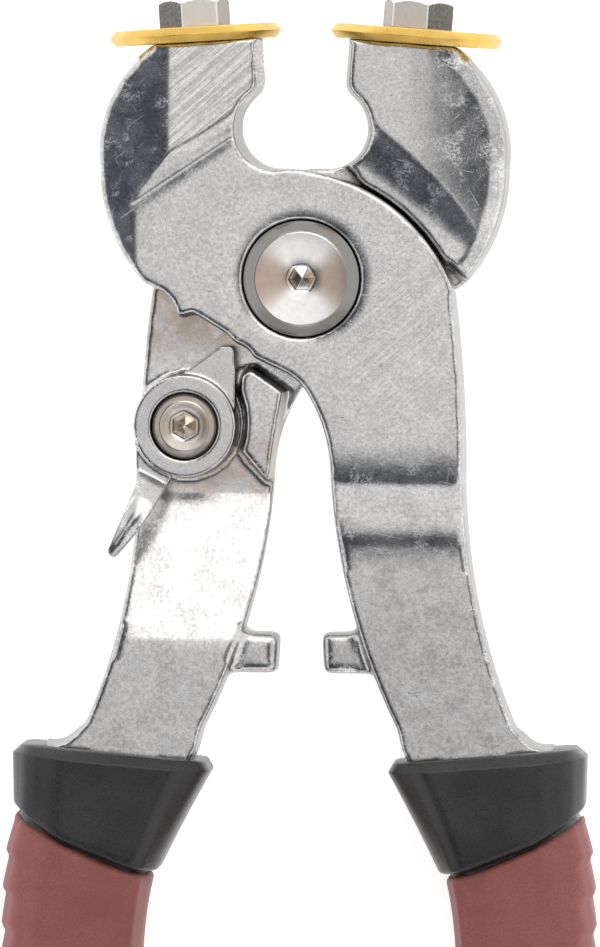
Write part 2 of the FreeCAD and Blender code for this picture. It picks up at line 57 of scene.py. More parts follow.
# ---------------------------------------------------------------- places and meshes
def row(points, flip=False):
    """Millimetres about the pivot to metres in the row frame; flip turns them over about the Y axis."""
    points = np.asarray(points, dtype=float)
    if flip:
        points = points * (-1, 1, -1)
    return points * MM + PIVOT


def about_pivot(points, flip=False):
    """The other way round: row frame metres to millimetres about the pivot."""
    points = (np.asarray(points) - PIVOT) / MM
    return points * (-1, 1, -1) if flip else points


def new_piece(name, verts, faces, material, body, slot, *replaced):
    """A smooth shaded mesh piece that rides on a body, takes a material and stands for CAD nodes."""
    mesh = bpy.data.meshes.new(name)
    mesh.from_pydata([tuple(v) for v in verts], [], [tuple(f) for f in faces])
    mesh.update()
    piece = bpy.data.objects.new(name, mesh)
    bpy.context.scene.collection.objects.link(piece)
    return finish_piece(piece, material, body, slot, *replaced)


def finish_piece(piece, material, body, slot, *replaced):
    """Faces outward, shading smooth, then the piece's material, body and CAD nodes. `slot` is not used."""
    work = bmesh.new()
    work.from_mesh(piece.data)
    bmesh.ops.recalc_face_normals(work, faces=work.faces)
    work.to_mesh(piece.data)
    work.free()
    piece.data.shade_smooth()
    piece.data.materials.clear()
    piece.data.materials.append(material)
    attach(piece, body)
    if replaced:
        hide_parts(*replaced)
    return piece


def grid_faces(rows, columns):
    """Quads of a grid whose columns close on themselves."""
    faces = []
    for i in range(rows - 1):
        here = i * columns
        beyond = here + columns
        for j in range(columns):
            k = (j + 1) % columns
            faces.append((here + j, here + k, beyond + k, beyond + j))
    return faces


def rounded(profile, radius):
    """Each inner corner of a profile replaced by a small curve, with a holding point on either side."""
    points = [profile[0]]
    for before, corner, after in zip(profile, profile[1:], profile[2:]):
        corner = np.array(corner, dtype=float)
        arms = []
        for other in (before, after):
            arm = np.array(other) - corner
            length = np.linalg.norm(arm)
            arms.append(arm / length * min(radius, 0.4 * length))
        first, last = arms
        points.append(tuple(corner + first * HOLDING))
        for t in (0.0, 0.25, 0.5, 0.75, 1.0):
            points.append(tuple(corner + first * (1 - t) ** 2 + last * t ** 2))
        points.append(tuple(corner + last * HOLDING))
    return points + [profile[-1]]


def hexagon_radius(flats, angles):
    """Distance to the edge of a hexagon with a corner at 90 degrees."""
    off_flat = np.mod(angles - math.pi / 2, math.pi / 3) - math.pi / 6
    return flats / 2 / np.cos(off_flat)


def ring(reach, angles, height):
    """Points round the Z axis at one height."""
    return np.column_stack((reach * np.cos(angles), reach * np.sin(angles), np.full(len(angles), height)))


def turned_verts(profile, segments=144, socket=None, socket_turn=0.0):
    """Rings of a turned shape about Z from (radius, height) points, then a hexagon socket's rings."""
    angles = np.arange(segments) * 2 * math.pi / segments
    rings = [ring(radius, angles, height) for radius, height in profile]
    if socket:
        flats, top, depth = socket
        edge = hexagon_radius(flats, angles + math.radians(socket_turn))
        walls = [(1.06, 0.05), (1.0, 0.14), (1.0, 0.3), (1.0, depth)]
        floor = [(0.94, depth + 0.06), (0.5, depth + 0.5), (0.05, depth + 0.9)]
        rings += [ring(edge * scale, angles, top - down) for scale, down in walls + floor]
    return np.vstack(rings), len(rings), segments


def capped(faces, rings, segments):
    """Close the first and last ring of a turned shape."""
    first = tuple(range(segments))
    last = tuple((rings - 1) * segments + j for j in range(segments))
    return faces + [first, last]


def laid(verts, centre, axis):
    """Vertices built about Z, laid along an axis through a centre."""
    turn = Vector((0, 0, 1)).rotation_difference(Vector(axis)).to_matrix()
    return verts @ np.array(turn).T + np.array(centre)


def turned_piece(name, profile, centre, material, node, socket, socket_turn=0.0):
    """A turned screw with a hexagon socket, upright in the fixed half."""
    verts, rings, segments = turned_verts(profile, socket=socket, socket_turn=socket_turn)
    faces = capped(grid_faces(rings, segments), rings, segments)
    spots = row(laid(verts, centre, (0, 0, 1)))
    return new_piece(name, spots, faces, material, "fixed_half", "turned_steel", node)


def with_modifier(piece, kind, **settings):
    """Apply one modifier to a piece's mesh."""
    modifier = piece.modifiers.new(kind.lower(), kind)
    for key, value in settings.items():
        setattr(modifier, key, value)
    shaped = bpy.data.meshes.new_from_object(piece.evaluated_get(bpy.context.evaluated_depsgraph_get()))
    piece.modifiers.clear()
    piece.data = shaped
    return piece


def coordinates(mesh):
    spots = np.empty(len(mesh.vertices) * 3)
    mesh.vertices.foreach_get("co", spots)
    return spots.reshape(-1, 3)


def set_coordinates(mesh, spots):
    mesh.vertices.foreach_set("co", np.asarray(spots, dtype=float).ravel())
    mesh.update()


def ease(values, start, end):
    """0 before start and 1 past end, straight between them."""
    return np.clip((values - start) / (end - start), 0.0, 1.0)


def within(values, low, high):
    return (values > low) & (values < high)


# ---------------------------------------------------------------- castings
OUTER_ARCS = [((-18.9, 29.57), (-24.6, 23.2), (-26.15, 14.04)),         # the jaw's outer edge, downwards
              ((-26.15, 14.04), (-25.05, 6.9), (-21.0, -0.24))]
ARCS_MEET_Y = 14.04
OUTER_CORNER = (-12.0, -1.5)            # the outer edge lies left of this x and above this y
FAR = 99.0                              # stands for "nowhere near the edge"
HUB_FACE = 7.6                          # height above the middle plane
JAW_THICK = 6.2
BACK_ROUND = 2.6                        # rounding of the jaw's outer edge, on the back
FRONT_ROUND = 0.4
ROUND_FADES = (24.9, 29.4)              # the rounding runs out over these y, towards the wheel's seat
DRAFT = math.tan(math.radians(4))
THROAT_DRAFT = math.tan(math.radians(6))
THROAT_X = (-12.0, -3.5)                # the throat between the jaws, which leans more
THROAT_Y = (13.0, 16.5)                 # its lean grows over these y
SEAT_Y = 27.5                           # the wheel's seat is above this
LAP_BEARINGS = (-16.0, -6.0, 96.0, 116.0)       # degrees: the hub's wall is upright from the 2nd to the 3rd
HEAD_SEAT = 8.6                         # radius of the metal round the pivot screw's head, kept as it is
LAP_INSIDE = 9.5                        # walls nearer the pivot than this are kept as they are too
HUB_EDGE = 19.5
POCKET_EDGE = 23.0                      # the pocket takes the other half's hub
LAP_TRIM = 0.22                         # how much nearer the hub the pocket's wall comes
TRIM_FROM = (4.0, 15.5)                 # right of this x and outside this radius
JAW_FRONT = [(-30.0, 6.13), (-17.05, 8.3), (-4.5, 7.9)]         # (x, height): facet, ridge, ground face
FOOT_LINE = (-0.595, 0.804)             # the way across the foot of the front jaw, square to it
FOOT_OFF = 19.65                        # the foot's start, this far from the pivot
FOOT_X = -8.2                           # outside this the foot leans and widens
FOOT_LEAN = 0.05
FOOT_WIDTH = 2.0
FOOT_WIDENS = (0.085, 9.0)              # by this much a millimetre, for so many millimetres
FOOT_SPAN = (-24.0, -4.0)               # the foot's stretch in x
FOOT_FADES = (-24.5, -21.5)             # the groove grows over these x
# (share of the foot's width, rise above the hub's face)
FOOT_RISE = [(-0.55, 0.0), (-0.28, -0.05), (0.0, -0.17), (0.05, -0.14), (0.5, 0.2), (1.0, 0.74)]
FULL_RISE = FOOT_RISE[-1][1]
DISH = (7.5, 9.1, 0.13)                 # round the pivot screw's head: inner and outer radius, depth
# (distance below the pivot, height)
RAMP_IN_CAD = [(25.75, 7.6), (29.8, 5.55), (30.7, 5.17), (31.6, 4.92), (32.5, 4.81), (34.5, 4.75)]
SHOULDER_Y = -20.5                      # where the hub's face starts to fall, then the straight ramp,
RAMP_Y = -25.75                         # its hollow run-out and the level handle
HOLLOW_Y = -30.6
HANDLE_Y = -36.16
RAMP_TOP = 7.3
HOLLOW_TOP = 5.68
RAMP_SLOPE = 0.3346
RUN_OUT_Y = (-37.5, -30.2)              # softened on the front of the handle
BACK_BREAK_Y = (-49.1, -43.9)           # softened on its back, where a slope ends
TAB_X = (1.5, 7.5)                      # the stop tab
TAB_Y = (-51.2, -44.6)
HANDLE_END_Y = -57.6
HIDDEN_TANG_Y = -63.0


def spread(values, held, edges, rounds):
    """Let a field that is held at some points of a mesh run out smoothly over the others."""
    count = len(values)
    ends = np.concatenate((edges, edges[:, ::-1]))
    degree = np.bincount(ends[:, 0], minlength=count)[:, None]
    for _ in range(rounds):
        total = [np.bincount(ends[:, 0], column[ends[:, 1]], count) for column in values.T]
        values = np.where(held, values, np.column_stack(total) / degree)
    return values


def mesh_edges(mesh):
    edges = np.empty(len(mesh.edges) * 2, dtype=np.int32)
    mesh.edges.foreach_get("vertices", edges)
    return edges.reshape(-1, 2)


def mesh_normals(mesh):
    normals = np.empty(len(mesh.vertices) * 3)
    mesh.vertex_normals.foreach_get("vector", normals)
    return normals.reshape(-1, 3)


def mesh_object(name, mesh):
    """A new object in the scene for a mesh."""
    piece = bpy.data.objects.new(name, mesh)
    bpy.context.scene.collection.objects.link(piece)
    return piece


def node_in_mm(name, node, flip=False, cut=None):
    """A CAD node's mesh in millimetres about the pivot, cut off square below `cut`."""
    mesh = frame["nodes"][node].data.copy()
    set_coordinates(mesh, about_pivot(coordinates(mesh), flip))
    work = bmesh.new()
    work.from_mesh(mesh)
    bmesh.ops.remove_doubles(work, verts=work.verts, dist=0.001)
    if cut is not None:
        everything = work.verts[:] + work.edges[:] + work.faces[:]
        made = bmesh.ops.bisect_plane(work, geom=everything, plane_co=(0, cut, 0), plane_no=(0, -1, 0),
                                      clear_outer=True)
        rim = [item for item in made["geom_cut"] if isinstance(item, bmesh.types.BMEdge)]
        bmesh.ops.triangle_fill(work, edges=rim, use_beauty=True)
    bmesh.ops.triangulate(work, faces=work.faces)
    work.to_mesh(mesh)
    work.free()
    mesh.materials.clear()
    return mesh_object(name, mesh)


def relax(mesh, rounds, where=None):
    """Soften a fine mesh by moving each point half of the way to the middle of its neighbours."""
    edges = mesh_edges(mesh)
    spots = coordinates(mesh)
    share = np.full((len(spots), 1), 0.5) if where is None else 0.5 * where(spots)[:, None]
    nothing = np.zeros((len(spots), 1), dtype=bool)
    for _ in range(rounds):
        spots += share * (spread(spots, nothing, edges, 1) - spots)
    set_coordinates(mesh, spots)


def circle_through(a, b, c):
    """Centre and radius of the circle through three points."""
    (ax, ay), (bx, by), (cx, cy) = a, b, c
    d = 2 * (ax * (by - cy) + bx * (cy - ay) + cx * (ay - by))
    squares = [x * x + y * y for x, y in (a, b, c)]
    ux = (squares[0] * (by - cy) + squares[1] * (cy - ay) + squares[2] * (ay - by)) / d
    uy = (squares[0] * (cx - bx) + squares[1] * (ax - cx) + squares[2] * (bx - ax)) / d
    return np.array((ux, uy)), math.hypot(ax - ux, ay - uy)


def depth_inside(spots):
    """How far points lie inside the outer edge of the jaw."""
    x, y, _ = spots.T
    depth = np.full(len(spots), FAR)
    for low_side, arc in ((False, OUTER_ARCS[0]), (True, OUTER_ARCS[1])):
        centre, radius = circle_through(*arc)
        inside = radius - np.hypot(x - centre[0], y - centre[1])
        chosen = (y < ARCS_MEET_Y) == low_side
        depth[chosen] = inside[chosen]
    return np.where((x < OUTER_CORNER[0]) & (y > OUTER_CORNER[1]), depth, FAR)


def rounded_edge(spots, on_back, radius):
    """Round the jaw's outer edge, on one face, by squeezing the metal towards the middle plane."""
    side = spots[:, 2] < 0 if on_back else spots[:, 2] > 0
    depth = np.clip(depth_inside(spots), 0.0, radius)
    drop = radius - np.sqrt(radius ** 2 - (radius - depth) ** 2)
    drop *= 1 - ease(spots[:, 1], *ROUND_FADES)
    spots[:, 2] = np.where(side, spots[:, 2] * (1 - drop / JAW_THICK), spots[:, 2])


def drafted(mesh):
    """Lean the side walls in, away from the parting line at the middle plane.

    The seats under the wheels and the walls of the lap joint stay upright.
    """
    spots = coordinates(mesh)
    normals = mesh_normals(mesh)
    x, y, z = spots.T
    flat = np.hypot(normals[:, 0], normals[:, 1])
    off_pivot = np.hypot(x, y)
    faces_out = (x * normals[:, 0] + y * normals[:, 1]) / off_pivot
    bearing = np.degrees(np.arctan2(y, x))
    throat = within(x, *THROAT_X) * np.interp(y, THROAT_Y, (0.0, 1.0))
    seat = (y > SEAT_Y) & (normals[:, 1] > 0.75)
    pocket = (faces_out < -0.75) & (off_pivot < POCKET_EDGE) & (throat == 0)
    beside = np.interp(bearing, LAP_BEARINGS, (1.0, 0.0, 0.0, 1.0))
    lean = DRAFT * np.where(off_pivot < HUB_EDGE, beside, 1.0)
    lean = np.where(seat | pocket, 0.0, lean + throat * (THROAT_DRAFT - lean))
    upright = flat > 0.85
    wall = upright & (off_pivot > LAP_INSIDE)
    still = (off_pivot < HEAD_SEAT) | (upright & ~wall)
    moves = np.zeros((len(spots), 2))
    inward = -normals[:, :2] / np.maximum(flat, 1e-6)[:, None]
    moves[wall] = (inward * (np.abs(z) * lean)[:, None])[wall]
    closer = pocket & wall & (x > TRIM_FROM[0]) & (off_pivot > TRIM_FROM[1])
    moves[closer] = -LAP_TRIM * inward[closer]
    moves = spread(moves, (wall | still)[:, None], mesh_edges(mesh), 24)
    spots[:, :2] += moves
    set_coordinates(mesh, spots)


def jaw_front(x):
    """Height of the ground face of the jaw and of the facet outside it."""
    return np.interp(x, *zip(*JAW_FRONT))


def foot_of_jaw(spots):
    """The groove at the foot of the front jaw, and the shallow dish round the pivot screw's head."""
    x, y, z = spots.T
    outside = FOOT_X - x
    beyond = FOOT_LINE[0] * x + FOOT_LINE[1] * y - FOOT_OFF - FOOT_LEAN * outside
    share = beyond / (FOOT_WIDTH + FOOT_WIDENS[0] * np.clip(outside, 0.0, FOOT_WIDENS[1]))
    height = jaw_front(np.maximum(x, JAW_FRONT[1][0])) - HUB_FACE
    rises = np.interp(share, *zip(*FOOT_RISE))
    level = HUB_FACE + np.where(rises > 0, rises * height / FULL_RISE, rises)
    level = np.minimum(level, jaw_front(x))
    fade = ease(x, *FOOT_FADES)
    level = np.where(share < 0.3, HUB_FACE + (level - HUB_FACE) * fade, level)
    chosen = (z > 6.9) & within(share, FOOT_RISE[0][0], 1.0) & within(x, *FOOT_SPAN)
    spots[:, 2] = np.where(chosen, np.minimum(level, np.maximum(z, level - 0.3)), z)
    inner, outer, depth = DISH
    reach = np.hypot(x, y)
    dish = depth * (1 - ease(reach, inner, outer)) ** 1.5
    spots[:, 2] = np.where((z > 7.3) & (reach < outer), spots[:, 2] - dish, spots[:, 2])


def on_tab(spots):
    """1 on the stop tab, which is tumbled rounder than the rest."""
    x, y, _ = spots.T
    return (within(x, *TAB_X) & within(y, *TAB_Y)).astype(float)


def on_ramp(spots):
    """1 where the ramps on the front and on the back run out on the handle."""
    _, y, z = spots.T
    front = within(y, *RUN_OUT_Y) & (z > 3.5)
    back = within(y, *BACK_BREAK_Y) & (z < -2.0)
    return (front | back).astype(float)


def into_collar(mesh):
    """Carry the end of the handle down into the collar, its inner side straight."""
    spots = coordinates(mesh)
    x, y, _ = spots.T
    past_end = HANDLE_END_Y - y
    aside = np.where(x < 14.5, 2.0 * ease(past_end, 0.0, 3.3), 0.0)
    down = 1.3 * ease(past_end, 0.0, 1.2)
    spots[:, 0] += aside
    spots[:, 1] -= down
    set_coordinates(mesh, spots)


def lean_to_ramp(mesh):
    """Ease the hub's face over into the ramp that leads down to the handle."""
    spots = coordinates(mesh)
    _, y, z = spots.T
    shoulder = -(HUB_FACE - RAMP_TOP) * ease(-y, -SHOULDER_Y, -RAMP_Y) ** 2
    straight = RAMP_TOP - RAMP_SLOPE * (RAMP_Y - y)
    length = HOLLOW_Y - HANDLE_Y
    past = np.clip(HOLLOW_Y - y, 0.0, length)
    hollow = HOLLOW_TOP - RAMP_SLOPE * past + RAMP_SLOPE * past ** 2 / (2 * length)
    ramp = np.where(y > HOLLOW_Y, straight, hollow) - np.interp(-y, *zip(*RAMP_IN_CAD))
    lift = np.where(y > RAMP_Y, shoulder, np.where(y > HANDLE_Y, ramp, 0.0))
    spots[:, 2] = np.where(z > 4.0, z + lift, z)
    set_coordinates(mesh, spots)


def make_casting(node, body, material):
    """A cast half: drafted walls, rounded edges, and the hidden tang left out."""
    flip = node == "rear_half"
    piece = node_in_mm(node + "_casting", node, flip, cut=HIDDEN_TANG_Y)
    with_modifier(piece, "REMESH", mode="VOXEL", voxel_size=0.36)
    drafted(piece.data)
    spots = coordinates(piece.data)
    rounded_edge(spots, True, BACK_ROUND)
    rounded_edge(spots, False, FRONT_ROUND)
    foot_of_jaw(spots)
    set_coordinates(piece.data, spots)
    lean_to_ramp(piece.data)
    into_collar(piece.data)
    with_modifier(piece, "REMESH", mode="VOXEL", voxel_size=0.22)
    relax(piece.data, 4)
    relax(piece.data, 34, on_tab)
    relax(piece.data, 30, on_ramp)
    with_modifier(piece, "DECIMATE", ratio=0.48)
    set_coordinates(piece.data, row(coordinates(piece.data), flip))
    return finish_piece(piece, material, body, "cast_steel", node)


def make_lever(material):
    """Lock lever, its thumb tail dished along the top."""
    piece = node_in_mm("lock_lever_casting", "lock_lever")
    with_modifier(piece, "REMESH", mode="VOXEL", voxel_size=0.16)
    spots = coordinates(piece.data)
    neck = np.array((-17.6, -25.2))
    tip = np.array((-24.4, -35.6))
    length = np.linalg.norm(tip - neck)
    ahead = (tip - neck) / length
    along = (spots[:, :2] - neck) @ ahead / length
    across = (spots[:, :2] - neck) @ np.array((-ahead[1], ahead[0]))
    hollow = np.clip(1 - (across / 1.25) ** 2, 0.0, 1.0)
    dish = 0.55 * hollow * ease(along, 0.28, 0.58)
    spots[:, 2] -= np.where(spots[:, 2] > 5.0, dish, 0.0)
    set_coordinates(piece.data, spots)
    relax(piece.data, 3)
    set_coordinates(piece.data, row(coordinates(piece.data)))
    return finish_piece(piece, material, "lever", "lever_steel", "lock_lever")


# ---------------------------------------------------------------- turned pieces
WHEEL_HALF = 0.95                       # half of the wheel's thickness
BOLT_FLATS = 8.0
BOLT_CORNER = 4.582                     # half the width across the rubbed corners
BOLT_HEAD = 3.5
LEVER_SEAT = 4.55                       # underside of the lever screw's head


def ringed(profile, segments=192):
    """Vertices and faces of a turned ring whose profile closes on itself."""
    verts, rings, segments = turned_verts(profile + profile[:1], segments)
    verts = verts[:-segments]
    rings -= 1
    faces = grid_faces(rings, segments)
    for j in range(segments):
        k = (j + 1) % segments
        faces.append(((rings - 1) * segments + j, (rings - 1) * segments + k, k, j))
    return verts, faces


def wheel_place(name):
    """Where a wheel's joint is, in millimetres about the pivot, and the way its axis points."""
    joint = JOINTS[name + "_turn"]
    return about_pivot(joint["pos_m"]), np.array(joint["axis"])


def make_wheel(side, material):
    """Cutting wheel: flat faces, a bevel ground from each side and a fine edge."""
    name = side + "_wheel"
    lower = [(2.6, -0.8), (2.75, -WHEEL_HALF), (10.1, -WHEEL_HALF), (10.25, -0.93), (10.33, -0.85),
             (10.97, -0.07)]
    upper = [(radius, -height) for radius, height in reversed(lower)]
    verts, faces = ringed(lower + [(11.0, 0.0)] + upper)
    spots = laid(verts, *wheel_place(name))
    return new_piece(name + "_disc", row(spots), faces, material, side + "_cutter", "gold_carbide", name)


def make_wheel_bolt(side, material, turn):
    """Hexagon bolt with a turned chamfer on its head, its flats turned by `turn` degrees."""
    name = side + "_wheel_bolt"
    steps = (-30, -22, -14, -7, -3, -1.5, 0, 1.5, 3, 7, 14, 22)
    angles = np.radians(np.sort([corner + step for corner in range(0, 360, 60) for step in steps]))
    hexagon = hexagon_radius(BOLT_FLATS, angles + math.pi / 2)
    hexagon = np.minimum(hexagon, BOLT_CORNER)
    rings = [(2.1, -14.0), (2.45, -13.6), (2.45, -0.02)]
    for height in (0.0, 0.12, 1.2, 2.0, 2.4, 2.7, 2.9, 3.1, 3.25, 3.36, 3.45, BOLT_HEAD):
        chamfer = 3.95 + (BOLT_HEAD - height) * 1.55
        broken = 0.08 if height in (0.0, BOLT_HEAD) else 0.0
        rings.append((np.minimum(hexagon, chamfer) - broken, height))
    rings += [(3.4, BOLT_HEAD), (0.4, BOLT_HEAD - 0.03)]
    verts = np.vstack([ring(reach, angles, height) for reach, height in rings])
    centre, axis = wheel_place(side + "_wheel")
    turned = verts @ np.array(Matrix.Rotation(math.radians(turn), 3, "Z")).T
    verts = laid(turned, centre + axis * WHEEL_HALF, axis)
    faces = capped(grid_faces(len(rings), len(angles)), len(rings), len(angles))
    piece = new_piece(name + "_hex", row(verts), faces, material, JAW_BODY[side], "nickel", name)
    piece.data.set_sharp_from_angle(angle=math.radians(28))
    return piece


def make_pivot_screw(material):
    """Big screw at the lap joint: shank, cylindrical head, chamfer, and a face that dips to the socket."""
    shank = [(0.4, -8.6), (3.4, -8.6), (4.0, -8.1), (4.0, -5.0), (4.5, -5.0), (4.5, 4.98)]
    head = [(7.1, 5.0), (7.35, 5.2), (7.35, 7.62), (7.3, 7.72), (5.98, 8.52), (5.9, 8.555), (5.78, 8.55)]
    face = [(5.4, 8.53), (4.6, 8.505), (3.8, 8.485), (3.0, 8.47), (2.3, 8.46), (2.0, 8.43)]
    socket = (2.85, 8.46, 2.2)
    profile = shank + head + face
    return turned_piece("pivot_screw_turned", profile, (0, 0, 0), material, "pivot_screw", socket, 26.0)


def make_lever_screw(material):
    """Screw in the lever's recess, its head stepped and chamfered."""
    shank = [(0.4, -8.2), (1.6, -8.2), (2.0, -7.8), (2.0, LEVER_SEAT)]
    head = [(4.1, 0.0), (4.15, 0.1), (4.15, 1.75), (4.08, 1.85), (3.25, 2.36), (3.15, 2.4), (3.05, 2.4),
            (2.6, 2.37), (2.2, 2.35), (1.98, 2.35)]
    profile = shank + [(radius, LEVER_SEAT + rise) for radius, rise in head]
    socket = (2.9, LEVER_SEAT + 2.35, 1.6)
    return turned_piece("lever_screw_turned", profile, (*LEVER[:2], 0), material, "lever_screw", socket)


def make_pivot_nut(material):
    """Round nut: the CAD shape with its edges broken."""
    piece = node_in_mm("pivot_nut_turned", "pivot_nut")
    work = bmesh.new()
    work.from_mesh(piece.data)
    bmesh.ops.dissolve_limit(work, angle_limit=math.radians(1), verts=work.verts, edges=work.edges)
    work.to_mesh(piece.data)
    work.free()
    with_modifier(piece, "BEVEL", width=0.18, segments=2, limit_method="ANGLE", angle_limit=math.radians(32))
    set_coordinates(piece.data, row(coordinates(piece.data)))
    finish_piece(piece, material, "fixed_half", "turned_steel", "pivot_nut")
    piece.data.set_sharp_from_angle(angle=math.radians(40))
    return piece


# ---------------------------------------------------------------- handles
HANDLE_START = np.array((22.4, -60.4))
BEND = (27.0, 3.0, -4.0)                # slope of the grip's centre line at its start, its bend and its end
RADII = (61.6, 614.0)                   # radius of that line above and below the bend
COLLAR_TOP = (np.array((10.7, -61.75)), np.array((36.6, -59.45)))
COLLAR_INNER = ((10.7, -61.75), (15.4, -70.4), (18.05, -75.75))
COLLAR_BOTTOM = ((18.05, -75.75), (27.4, -72.9), (36.4, -67.1))
COLLAR_HALF = 9.5
GRIP_HALF = 9.0
LIP = 1.35
STEP_PITCH = 4.1
TOOTH = 0.5
RISING = 0.86                           # share of each step that slopes
FLARE = (1.35, 13.0)                    # the grip's outer side beside the collar: how far out, how far down


def handle_point(angle, aside):
    """The point `aside` mm off the handle's centre line where that line has turned to `angle`."""
    spot = HANDLE_START.copy()
    legs = [(RADII[0], BEND[0], max(angle, BEND[1])), (RADII[1], BEND[1], min(angle, BEND[1]))]
    for radius, first, last in legs:
        a, b = math.radians(first), math.radians(last)
        spot += radius * np.array((math.cos(b) - math.cos(a), math.sin(b) - math.sin(a)))
    slope = math.radians(angle)
    return spot + aside * np.array((math.cos(slope), math.sin(slope)))


def on_arc(arc, share):
    """The point a share of the way along an arc through three points."""
    centre, radius = circle_through(*arc)
    first, last = (math.atan2(y - centre[1], x - centre[0]) for x, y in (arc[0], arc[2]))
    if abs(last - first) > math.pi:
        last += math.copysign(2 * math.pi, first - last)
    turn = first + share * (last - first)
    return centre + radius * np.array((math.cos(turn), math.sin(turn)))


def collar_point(along, across):
    """A point of the collar's outline patch: along runs down from the top edge, across outwards."""
    top = COLLAR_TOP[0] + across * (COLLAR_TOP[1] - COLLAR_TOP[0])
    bottom = on_arc(COLLAR_BOTTOM, across)
    outer = COLLAR_TOP[1] + along * (np.array(COLLAR_BOTTOM[2]) - COLLAR_TOP[1])
    inner = on_arc(COLLAR_INNER, along)
    corners = ((1 - along) * ((1 - across) * COLLAR_TOP[0] + across * COLLAR_TOP[1])
               + along * ((1 - across) * np.array(COLLAR_BOTTOM[0]) + across * np.array(COLLAR_BOTTOM[2])))
    return (1 - along) * top + along * bottom + (1 - across) * inner + across * outer - corners


def full_loop(half):
    """A section's upper half, from one side to the other, followed by its mirror image below."""
    return half + [(a, -z) for a, z in half[-2:0:-1]]


def collar_section(along, width, inset):
    """Distance from the inner side and height round the collar: a facet inside, a soft shoulder outside."""
    facet = 4.2 - 1.9 * along
    top = COLLAR_HALF - inset
    inner = [(inset, 0.0), (inset, 4.6), (0.5 + inset, 6.6), (facet, top)]
    outer = [(width - 6.5, top), (width - 2.0, top - 1.3), (width - inset, top - 4.4), (width - inset, 0.0)]
    return full_loop(rounded(inner + outer, 1.3))


def collar_ring(loop, reach, inset):
    """The collar's last section, drawn in a little and carried `reach` mm on below its bottom edge."""
    centre, radius = circle_through(*COLLAR_BOTTOM)
    middle = on_arc(COLLAR_BOTTOM, 0.5)
    verts = []
    for x, y, z in loop:
        outward = np.array((x, y)) - centre
        outward /= np.linalg.norm(outward)
        tangent = np.array((-outward[1], outward[0]))
        sideways = float(np.dot(np.array((x, y)) - middle, tangent))
        spot = middle + tangent * sideways * (1 - inset / 10) - centre
        spot = centre + spot / np.linalg.norm(spot) * (radius + reach)
        verts.append((*spot, z * (1 - inset / 10)))
    return verts


def make_collar(name, body, material, flip, node):
    """Collar with a chamfered lip above, and a thin ring that tucks into the grip below."""
    lip = [(0.0, 1.3), (0.2, 1.05), (LIP - 0.2, 0.12), (LIP, 0.0), (LIP + 0.15, 0.0)]
    walls = [(share, 0.0) for share in np.linspace(0.2, 0.97, 14)]
    edge = [(0.985, 0.12), (1.0, 0.5)]
    rows = [(depth, inset, True) for depth, inset in lip]
    rows += [(depth, inset, False) for depth, inset in walls + edge]
    verts = []
    for depth, inset, in_mm in rows:
        middle = depth / 11.0 if in_mm else depth
        width = np.linalg.norm(collar_point(middle, 1.0) - collar_point(middle, 0.0))
        loop = collar_section(middle, width, inset)
        for a, z in loop:
            across = a / width
            length = 16.0 - 7.9 * across
            along = depth / length if in_mm else max(depth, (LIP + 0.3) / length)
            x, y = collar_point(along, across)
            verts.append((x, y, z))
    segments = len(loop)
    bottom = verts[-segments:]
    for reach, inset in ((0.02, 0.9), (0.6, 0.9), (3.5, 2.2)):
        verts += collar_ring(bottom, reach, inset)
    count = len(verts) // segments
    faces = capped(grid_faces(count, segments), count, segments)
    return new_piece(name, row(verts, flip), faces, material, body, "black_plastic", node)


def grip_section():
    """Distance off the centre line and height round the grip."""
    inner = [(-GRIP_HALF, 0.0), (-GRIP_HALF, 3.2), (-7.85, 8.35), (-3.6, GRIP_HALF)]
    outer = [(4.2, GRIP_HALF), (7.6, 7.5), (GRIP_HALF, 4.2), (GRIP_HALF, 0.0)]
    return full_loop(rounded(inner + outer, 1.1))


def tooth(length):
    """Depth of the anti-slip steps on the outer side, at a distance down the grip."""
    share = (length / STEP_PITCH) % 1.0
    if share < RISING:
        return TOOTH * (1 - share / RISING)
    return TOOTH * (share - RISING) / (1 - RISING)


def grip_start(aside, gap):
    """Where the centre line has turned to when this side of the grip meets the collar's ring."""
    centre, radius = circle_through(*COLLAR_BOTTOM)
    high, low = BEND[:2]
    for _ in range(30):
        angle = (high + low) / 2
        beyond = np.linalg.norm(handle_point(angle, aside) - centre) - radius - gap
        if beyond < 0:
            high = angle
        else:
            low = angle
    return angle


def arc_length(angle):
    """Distance down the centre line from the collar to where it has turned to `angle`."""
    short = RADII[0] * math.radians(BEND[0] - max(angle, BEND[1]))
    return short + RADII[1] * math.radians(BEND[1] - min(angle, BEND[1]))


def angle_at(length):
    """The other way round."""
    short = RADII[0] * math.radians(BEND[0] - BEND[1])
    if length < short:
        return BEND[0] - math.degrees(length / RADII[0])
    return BEND[1] - math.degrees((length - short) / RADII[1])


